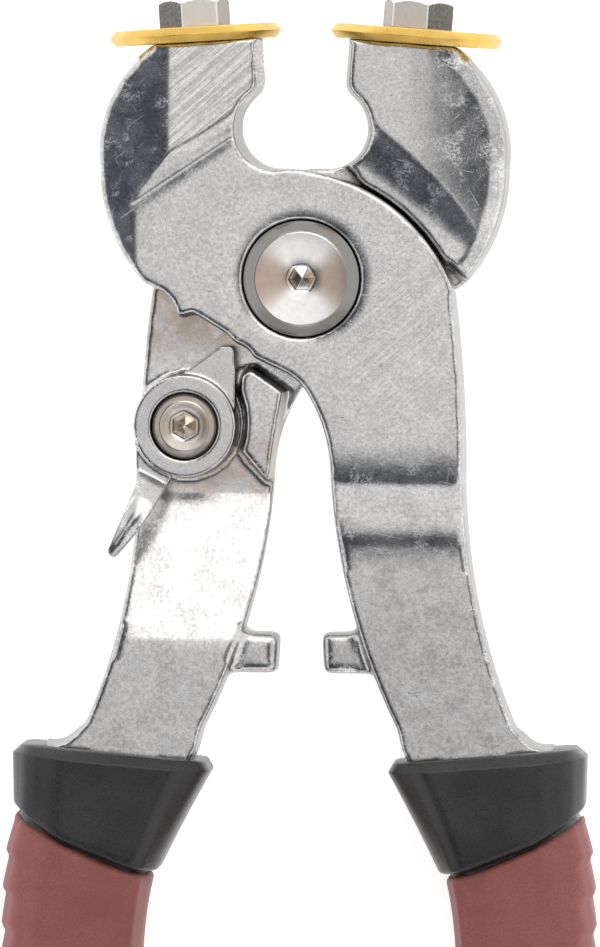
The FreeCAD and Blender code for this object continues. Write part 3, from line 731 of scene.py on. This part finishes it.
def make_grip(name, body, material, flip, node):
    """Grip round the bent handle: stepped and flared on its outer side, and rounded over at its end."""
    section = grip_section()
    end = arc_length(BEND[2])
    starts = [arc_length(grip_start(a, 0.55)) for a, _ in section]
    first = min(starts)
    steps = int((end - first) / 0.42)
    verts = []
    for k in range(steps + 1):
        share = k / steps
        drawn_in = {0: 0.55, 1: 0.12}.get(k, 0.0)
        for (a, z), start in zip(section, starts):
            length = start + share * (end - start)
            outer = max(0.0, min(1.0, (a - 6.6) / 1.4))
            flare = FLARE[0] * max(0.0, 1 - (length - first) / FLARE[1])
            aside = a + outer * (flare - tooth(length))
            if abs(a) > 6:
                aside -= math.copysign(drawn_in, a)
            x, y = handle_point(angle_at(length), aside)
            verts.append((x, y, z * (1 - drawn_in / GRIP_HALF)))
    down = math.radians(BEND[2])
    for k in range(1, 13):
        turn = k / 12.4 * math.pi / 2
        reach = GRIP_HALF * math.sin(turn)
        for a, z in section:
            x, y = handle_point(BEND[2], a * math.cos(turn))
            verts.append((x + reach * math.sin(down), y - reach * math.cos(down), z * math.cos(turn) ** 0.8))
    segments = len(section)
    count = len(verts) // segments
    faces = capped(grid_faces(count, segments), count, segments)
    return new_piece(name, row(verts, flip), faces, material, body, "maroon_rubber", node)


# ---------------------------------------------------------------- materials
WALL_SHADE = (0.33, 0.325, 0.32)         # colours on the cast steel; this first one is painted shade on the side walls
# brownish dirt with painted shade, by the lap joint and under the lever
DIRT_AND_SHADE = (0.46, 0.39, 0.33)
# painted shade for the outside of the rear jaw
OUTER_JAW_SHADE = (0.30, 0.295, 0.29)
FLECK = (0.88, 0.88, 0.88)
PIT = (0.16, 0.155, 0.15)
SCRATCH = (0.95, 0.95, 0.95)
GROUND_LOW = (0.42, 0.415, 0.41)
GROUND_HIGH = (0.92, 0.92, 0.92)
SCRATCH_RUNS = [(37, 4.0), (-58, 4.6), (-12, 5.3), (80, 4.3)]           # degrees from X, lines to the mm


def new_material(name, metallic=0.0, rough=0.5, color=(0.5, 0.5, 0.5)):
    material = bpy.data.materials.new(name)
    material.use_nodes = True
    shader = material.node_tree.nodes["Principled BSDF"]
    shader.inputs["Metallic"].default_value = metallic
    shader.inputs["Roughness"].default_value = rough
    shader.inputs["Base Color"].default_value = (*color, 1)
    return material, shader


class Nodes:
    """Short calls that add shader nodes and join them up."""

    def __init__(self, tree):
        self.tree = tree

    def add(self, kind, inputs=None, **settings):
        node = self.tree.nodes.new("ShaderNode" + kind)
        for key, value in settings.items():
            setattr(node, key, value)
        for key, value in (inputs or {}).items():
            self.feed(node.inputs[key], value)
        return node

    def feed(self, socket, value):
        if isinstance(value, bpy.types.NodeSocket):
            self.tree.links.new(value, socket)
        elif isinstance(value, bpy.types.Node):
            self.tree.links.new(value.outputs[0], socket)
        else:
            socket.default_value = value

    def math(self, operation, *values):
        return self.add("Math", dict(enumerate(values)), operation=operation).outputs[0]

    def times(self, first, second):
        return self.math("MULTIPLY", first, second)

    def most(self, first, second):
        return self.math("MAXIMUM", first, second)

    def remap(self, value, low, high, out_low=0.0, out_high=1.0, smooth=True):
        keys = {"Value": value, "From Min": low, "From Max": high, "To Min": out_low, "To Max": out_high}
        kind = "SMOOTHSTEP" if smooth else "LINEAR"
        return self.add("MapRange", keys, interpolation_type=kind).outputs[0]

    def place(self, scale=(1000, 1000, 1000), turn=0.0):
        """Object coordinates in millimetres, or stretched along a direction in the XY plane."""
        spot = self.add("TexCoord").outputs["Object"]
        turned = self.add("Mapping", {"Vector": spot, "Rotation": (0, 0, math.radians(turn))})
        return self.add("Mapping", {"Vector": turned, "Scale": scale})

    def noise(self, place, scale, detail=3.0, rough=0.55):
        keys = {"Vector": place, "Scale": scale, "Detail": detail, "Roughness": rough}
        return self.add("TexNoise", keys).outputs["Fac"]

    def blend(self, factor, first, second):
        mix = self.add("Mix", data_type="RGBA")
        self.feed(mix.inputs[0], factor)
        for socket, value in ((mix.inputs[6], first), (mix.inputs[7], second)):
            linked = isinstance(value, (bpy.types.NodeSocket, bpy.types.Node))
            self.feed(socket, value if linked else (*value, 1))
        return mix.outputs[2]

    def bump(self, height, distance, strength=1.0, before=None):
        keys = {"Height": height, "Distance": distance, "Strength": strength}
        if before is not None:
            keys["Normal"] = before
        return self.add("Bump", keys).outputs["Normal"]


def about_centre(nodes, centre=(0, 0, 0)):
    """Object coordinates in millimetres about a centre, apart."""
    spot = nodes.add("VectorMath", {0: nodes.add("TexCoord").outputs["Object"]}, operation="SUBTRACT")
    spot.inputs[1].default_value = row(centre)
    scaled = nodes.add("VectorMath", {0: spot}, operation="SCALE")
    scaled.inputs["Scale"].default_value = 1 / MM
    return nodes.add("SeparateXYZ", {0: scaled}).outputs


def between(nodes, value, low, high, soft=1.0):
    """1 between two limits, with soft ends."""
    return nodes.times(nodes.remap(value, low - soft, low + soft),
                       nodes.remap(value, high - soft, high + soft, 1.0, 0.0))


def stripes(nodes, turn, along, across):
    """Fine parallel lines, `turn` degrees from the X axis."""
    return nodes.noise(nodes.place((1000 * along, 1000 * across, 1000), -turn), 1.0, 2.0, 0.5)


def front_marks(nodes, x, y):
    """Where the front half shows its grinding lines: the jaw's inner face, and less on the hub."""
    beyond = nodes.math("ADD", nodes.times(x, FOOT_LINE[0]), nodes.times(y, FOOT_LINE[1]))
    jaw = nodes.times(nodes.remap(beyond, 21.8, 22.6), nodes.remap(x, -17.6, -16.8))
    hub = nodes.times(between(nodes, x, 5.0, 18.0, 4.0), between(nodes, y, -17.0, 2.0, 4.0))
    return nodes.most(jaw, nodes.times(hub, 0.45))


def rear_dirt_and_shade(nodes, x, y):
    """Where dirt and painted shade go on the rear half: beside the lap joint and, less, under the lever."""
    by_joint = between(nodes, y, -9.0, 2.0, 3.0)
    by_lever = nodes.times(between(nodes, y, -28.0, -20.5, 2.5), 0.8)
    return nodes.times(between(nodes, x, -24.0, 0.0, 3.0), nodes.most(by_joint, by_lever))


def rear_flecks_and_shade(nodes, x, y):
    """Where the rear half gets extra flecks and painted shade: the outside of its jaw."""
    return nodes.times(nodes.remap(x, 3.0, 5.0), nodes.remap(y, 6.0, 16.0))


def surface_normal(nodes):
    """The surface's normal in the row frame, apart."""
    return nodes.add("SeparateXYZ", {0: nodes.add("NewGeometry").outputs["Normal"]}).outputs


def fine_scratches(nodes):
    """Straight thin scratches running several ways."""
    scratches = None
    for turn, across in SCRATCH_RUNS:
        cut = nodes.remap(stripes(nodes, turn, 0.14, across), 0.68, 0.75)
        scratches = cut if scratches is None else nodes.most(scratches, cut)
    return scratches


def with_grinding(nodes, color, where):
    """A colour with the dark and light lines of a coarse grinding belt over part of it."""
    ground = stripes(nodes, 41, 0.10, 4.2)
    low = nodes.times(where, nodes.remap(ground, 0.40, 0.52, 0.5, 0.0))
    high = nodes.times(where, nodes.remap(ground, 0.50, 0.62, 0.0, 0.6))
    return nodes.blend(high, nodes.blend(low, color, GROUND_LOW), GROUND_HIGH)


def cast_metal(name, light=(0.82, 0.81, 0.80), dark=(0.45, 0.445, 0.445), ends=0.74,
               marks=None, grime_and_shade=None, flecks_and_shade=None):
    """Tumbled cast steel: soft mottle, flecks, pits and scratches, and painted shade on the side walls, set
    by the way they face.

    `ends` is how much darker the handle ends are. The last three say where grinding lines, brownish dirt
    with painted shade, and extra flecks with painted shade are.
    """
    material, shader = new_material(name, 1.0)
    nodes = Nodes(material.node_tree)
    mm = nodes.place()
    x, y, _ = about_centre(nodes)
    patches = nodes.noise(mm, 0.3, 4.0)
    grain = nodes.noise(mm, 2.0, 5.0, 0.7)
    mottle = nodes.math("ADD", nodes.times(nodes.remap(patches, 0.38, 0.60), 0.42),
                        nodes.times(nodes.remap(grain, 0.36, 0.64), 0.58))
    dark_ends_and_painted_flat = nodes.blend(mottle, [c * ends for c in dark], [c * (ends + 0.06) for c in light])
    color = nodes.blend(nodes.remap(y, -47.0, -24.0), dark_ends_and_painted_flat, nodes.blend(mottle, dark, light))
    # painted shade: walls that face sideways are painted grey
    wall = nodes.remap(nodes.math("ABSOLUTE", surface_normal(nodes)[2]), 0.35, 0.75, 1.0, 0.0)
    color = nodes.blend(nodes.times(wall, 0.9), color, WALL_SHADE)
    if grime_and_shade:
        # dirt with painted shade on the rear half
        cloudy = nodes.remap(nodes.noise(mm, 0.3, 4.0), 0.35, 0.55, 0.35, 1.0)
        color = nodes.blend(nodes.times(grime_and_shade(nodes, x, y), cloudy), color, DIRT_AND_SHADE)
    fine = nodes.noise(mm, 3.4, 3.0)
    flecks = nodes.remap(fine, 0.60, 0.70, 0.0, 0.55)
    if flecks_and_shade:
        where = flecks_and_shade(nodes, x, y)
        # painted shade: the rear jaw's outside painted darker towards its edge
        color = nodes.blend(nodes.times(where, nodes.remap(x, 10.0, 19.0, 0.1, 0.5)), color, OUTER_JAW_SHADE)
        more = nodes.times(where, nodes.remap(nodes.noise(mm, 4.6, 3.0), 0.56, 0.70, 0.0, 0.7))
        flecks = nodes.most(flecks, more)
    scuffs = nodes.times(nodes.remap(nodes.noise(mm, 0.33, 3.0), 0.52, 0.64),
                         nodes.remap(fine, 0.42, 0.56, 0.0, 0.9))
    flecks = nodes.times(nodes.most(flecks, scuffs), nodes.remap(wall, 0.0, 1.0, 1.0, 0.25, smooth=False))
    color = nodes.blend(flecks, color, FLECK)
    color = nodes.blend(nodes.remap(nodes.noise(mm, 1.7, 2.0), 0.70, 0.75, 0.0, 0.5), color, PIT)
    scratches = fine_scratches(nodes)
    color = nodes.blend(nodes.times(scratches, 0.5), color, SCRATCH)
    if marks:
        color = with_grinding(nodes, color, marks(nodes, x, y))
    nodes.feed(shader.inputs["Base Color"], color)
    rough = nodes.math("ADD", nodes.remap(patches, 0.3, 0.7, 0.16, 0.22), nodes.times(wall, 0.14))
    rough = nodes.math("ADD", rough, nodes.times(nodes.most(flecks, scratches), 0.16))
    nodes.feed(shader.inputs["Roughness"], rough)
    normal = nodes.bump(grain, 0.00002, 0.5)
    nodes.feed(shader.inputs["Normal"], nodes.bump(fine, 0.000004, 0.5, normal))
    return material


def turned_metal(name, color, tan_beside_highlight, outer_ring_shade, face, centre=(0, 0, 0), rough=0.2):
    """Faced on a lathe, with a painted highlight that is bright across one way and tan across the other, and
    painted shade in the ring outside `face`.
    """
    material, shader = new_material(name, 1.0, rough, color)
    nodes = Nodes(material.node_tree)
    x, y, _ = about_centre(nodes, centre)
    reach = nodes.math("SQRT", nodes.math("ADD", nodes.times(x, x), nodes.times(y, y)))
    sideways = nodes.math("DIVIDE", nodes.math("ABSOLUTE", x), nodes.most(reach, 0.01))
    # painted highlight: bright above and below the centre, tan to either side
    paint = nodes.blend(nodes.remap(sideways, 0.55, 1.0), color, tan_beside_highlight)
    # painted shade in the ring outside `face`, where the screws' chamfer is
    paint = nodes.blend(nodes.remap(reach, face - 0.06, face + 0.06), paint, outer_ring_shade)
    nodes.feed(shader.inputs["Base Color"], paint)
    grooves = nodes.noise(nodes.add("CombineXYZ", {0: reach}), 7.0, 2.0)
    uneven = nodes.noise(nodes.place(), 1.5)
    nodes.feed(shader.inputs["Roughness"], nodes.remap(uneven, 0.3, 0.7, rough - 0.01, rough + 0.02))
    nodes.feed(shader.inputs["Normal"], nodes.bump(grooves, 0.000002, 0.6))
    return material


def gold(name):
    """Gold coloured hard coating over ground carbide."""
    material, shader = new_material(name, 1.0, 0.34, (0.8, 0.5, 0.12))
    nodes = Nodes(material.node_tree)
    patches = nodes.remap(nodes.noise(nodes.place(), 0.35, 3.0), 0.3, 0.7)
    nodes.feed(shader.inputs["Base Color"], nodes.blend(patches, (0.74, 0.46, 0.11), (0.83, 0.555, 0.155)))
    grain = nodes.noise(nodes.place((6000, 400, 6000)), 1.0, 3.0)
    nodes.feed(shader.inputs["Roughness"], nodes.remap(grain, 0.3, 0.7, 0.26, 0.42))
    nodes.feed(shader.inputs["Normal"], nodes.bump(grain, 0.000006, 0.5))
    return material


def oiled_metal(name, color=(0.22, 0.21, 0.20), rough=0.35):
    """Dark oiled steel with a soft unevenness."""
    material, shader = new_material(name, 1.0, rough, color)
    nodes = Nodes(material.node_tree)
    fine = nodes.noise(nodes.place(), 2.2, 4.0)
    paint = nodes.blend(nodes.remap(fine, 0.35, 0.7), color, [c * 0.72 for c in color])
    nodes.feed(shader.inputs["Base Color"], paint)
    nodes.feed(shader.inputs["Roughness"], nodes.remap(fine, 0.3, 0.7, rough - 0.04, rough + 0.12))
    nodes.feed(shader.inputs["Normal"], nodes.bump(fine, 0.00002, 0.5))
    return material


def nickel_with_painted_shade(name, side):
    """Bright nickel, with painted shade: a dark flat on the outer side of the head and a grey one on the
    inner side, set by the way each face points.
    """
    material, shader = new_material(name, 0.45, 0.2, (0.9, 0.88, 0.85))
    nodes = Nodes(material.node_tree)
    # painted shade: flats that face outward are painted near black, flats that face inward grey
    outward = nodes.times(surface_normal(nodes)[0], -1.0 if side == "left" else 1.0)
    outer = nodes.remap(outward, 0.55, 0.68)
    inner = nodes.remap(outward, -0.82, -0.92)
    fine = nodes.noise(nodes.place(), 2.6, 4.0)
    mottle = nodes.remap(fine, 0.3, 0.7)
    bright = nodes.blend(mottle, (0.92, 0.90, 0.88), (0.97, 0.96, 0.94))
    bright = nodes.blend(inner, bright, (0.30, 0.285, 0.27))
    # painted shade: the dark colour of the outer flats
    dark_ends_and_painted_flat = nodes.blend(mottle, (0.10, 0.095, 0.09), (0.20, 0.19, 0.175))
    nodes.feed(shader.inputs["Base Color"], nodes.blend(outer, bright, dark_ends_and_painted_flat))
    nodes.feed(shader.inputs["Roughness"], nodes.remap(fine, 0.3, 0.7, 0.18, 0.26))
    return material


def moulded(name, color, light, rough, grain, depth):
    """Moulded plastic or rubber with a fine grain and a little dust."""
    material, shader = new_material(name, 0.0, rough, color)
    nodes = Nodes(material.node_tree)
    mm = nodes.place()
    cloud = nodes.noise(mm, 0.12, 3.0)
    fine = nodes.noise(mm, grain, 3.0, 0.6)
    dust = nodes.remap(nodes.noise(mm, 3.1, 2.0), 0.74, 0.8)
    mixed = nodes.blend(nodes.remap(nodes.times(cloud, fine), 0.1, 0.4), color, light)
    dusty = nodes.blend(nodes.times(dust, 0.35), mixed, [min(1.0, c * 2.2 + 0.03) for c in light])
    nodes.feed(shader.inputs["Base Color"], dusty)
    nodes.feed(shader.inputs["Roughness"], nodes.remap(fine, 0.3, 0.7, rough - 0.06, rough + 0.08))
    nodes.feed(shader.inputs["Normal"], nodes.bump(fine, depth, 0.7))
    return material


# ---------------------------------------------------------------- studio
VIEW_HEIGHT = 0.1208                    # metres of the row frame from the picture's bottom to its top
VIEW_DISTANCE = 1.5
VIEW_RIGHT, VIEW_UP, VIEW_ROLL = 3.0, 2.0, 0.43         # degrees off square
SENSOR = 36.0
CARD_BLUE = (0.075, 0.085, 0.105)
TENT = (0.98, 0.98, 0.98)
TENT_FRONT = (0.70, 0.70, 0.70)
STRIP = (2.1, 2.09, 2.07)
CEILING = (1.13, 1.11, 1.10)


def add_camera():
    """The photograph's view: from high above, a little to the right and towards the jaws."""
    target = Vector(row((-0.37, -25.0, 0)))
    data = bpy.data.cameras.new("camera")
    camera = bpy.data.objects.new("camera", data)
    bpy.context.scene.collection.objects.link(camera)
    lean = Vector((math.tan(math.radians(VIEW_RIGHT)), math.tan(math.radians(VIEW_UP)), 1))
    camera.location = target + lean * VIEW_DISTANCE
    back = (camera.location - target).normalized()
    right = Vector((0, 1, 0)).cross(back).normalized()
    up = back.cross(right)
    roll = Matrix.Rotation(math.radians(VIEW_ROLL), 3, back)
    turn = roll @ Matrix((right, up, back)).transposed()
    camera.matrix_world = Matrix.Translation(camera.location) @ turn.to_4x4()
    data.sensor_fit = "VERTICAL"
    data.sensor_height = SENSOR
    data.lens = SENSOR * (camera.location - target).length / VIEW_HEIGHT
    data.clip_start = 0.05
    data.clip_end = 20.0
    bpy.context.scene.camera = camera


def card(nodes, x, y, sides, ends, soft):
    """1 where a direction points at a dark card overhead, between these sines of angle."""
    return nodes.times(between(nodes, x, *sides, soft), between(nodes, y, *ends, soft))


def add_world():
    """A white tent with a soft ceiling, a bright strip and three dark cards round the camera's opening."""
    world = bpy.data.worlds.new("world")
    world.use_nodes = True
    nodes = Nodes(world.node_tree)
    parts = nodes.add("SeparateXYZ", {0: nodes.add("TexCoord").outputs["Generated"]})
    x, y, z = parts.outputs
    upward = nodes.remap(z, 0.3, 0.6)
    left = card(nodes, x, y, (-0.56, -0.14), (-0.6, 0.6), 0.035)
    right = card(nodes, x, y, (0.12, 0.42), (-0.28, 0.16), 0.08)
    front = card(nodes, x, y, (-0.16, 0.15), (-0.57, -0.12), 0.035)
    cards = nodes.most(nodes.most(left, right), front)
    color = nodes.blend(nodes.remap(y, -0.64, -0.52, 1.0, 0.0), TENT, TENT_FRONT)
    strip = nodes.times(between(nodes, x, -0.4, 0.4, 0.06), between(nodes, y, 0.32, 0.75, 0.06))
    color = nodes.blend(strip, color, STRIP)
    ceiling = nodes.times(nodes.remap(nodes.math("ABSOLUTE", x), 0.3, 0.15), nodes.remap(y, 0.22, 0.12))
    color = nodes.blend(nodes.times(ceiling, upward), color, CEILING)
    color = nodes.blend(nodes.times(cards, upward), color, CARD_BLUE)
    background = world.node_tree.nodes["Background"]
    nodes.feed(background.inputs["Color"], color)
    background.inputs["Strength"].default_value = 1.0
    bpy.context.scene.world = world


def add_floor():
    """A wide sheet of white paper that glows a little, as if lit from behind."""
    mesh = bpy.data.meshes.new("floor")
    mesh.from_pydata([(-2, -2, 0), (2, -2, 0), (2, 2, 0), (-2, 2, 0)], [], [(0, 1, 2, 3)])
    floor = mesh_object("floor", mesh)
    paper, shader = new_material("paper", rough=0.9, color=(0.9, 0.9, 0.9))
    shader.inputs["Emission Color"].default_value = (1, 1, 1, 1)
    shader.inputs["Emission Strength"].default_value = 0.68
    mesh.materials.append(paper)


add_camera()
add_world()
add_floor()
bpy.context.scene.view_settings.view_transform = "Standard"
front_steel = cast_metal("front_cast_steel", marks=front_marks)
rear_steel = cast_metal("rear_cast_steel", ends=0.88, grime_and_shade=rear_dirt_and_shade, flecks_and_shade=rear_flecks_and_shade)
lever_steel = cast_metal("lever_steel", light=(0.66, 0.655, 0.65), dark=(0.55, 0.545, 0.54))
pivot_steel = turned_metal("pivot_steel", color=(0.97, 0.96, 0.94), tan_beside_highlight=(0.50, 0.41, 0.34),
                           outer_ring_shade=(0.30, 0.295, 0.28), face=5.95)
lever_screw_steel = turned_metal("lever_screw_steel", color=(0.78, 0.73, 0.67), tan_beside_highlight=(0.52, 0.45, 0.38),
                                 outer_ring_shade=(0.40, 0.36, 0.33), face=3.2, centre=LEVER)
nut_steel = turned_metal("nut_steel", color=(0.85, 0.83, 0.80), tan_beside_highlight=(0.56, 0.50, 0.44),
                         outer_ring_shade=(0.45, 0.44, 0.42), face=6.5)
gold_coat = gold("gold_coating")
oiled = oiled_metal("oiled_steel")
rubber = moulded("maroon_rubber", (0.235, 0.066, 0.058), (0.33, 0.103, 0.092), 0.55, 3.5, 0.00003)
plastic = moulded("black_plastic", (0.014, 0.014, 0.015), (0.034, 0.034, 0.035), 0.32, 4.5, 0.00003)

for node in frame["nodes"].values():
    node.data.materials.clear()
    node.data.materials.append(oiled)
make_casting("front_half", "moving_half", front_steel)
make_casting("rear_half", "fixed_half", rear_steel)
make_lever(lever_steel)
make_pivot_screw(pivot_steel)
make_lever_screw(lever_screw_steel)
make_pivot_nut(nut_steel)
for side, turn in (("left", 17.0), ("right", -17.0)):
    make_wheel(side, gold_coat)
    make_wheel_bolt(side, nickel_with_painted_shade(side + "_nickel", side), turn)
for half, body, flip in (("right", "moving_half", False), ("left", "fixed_half", True)):
    make_collar(half + "_collar", body, plastic, flip, half + "_handle_core")
    make_grip(half + "_rubber_grip", body, rubber, flip, half + "_grip")
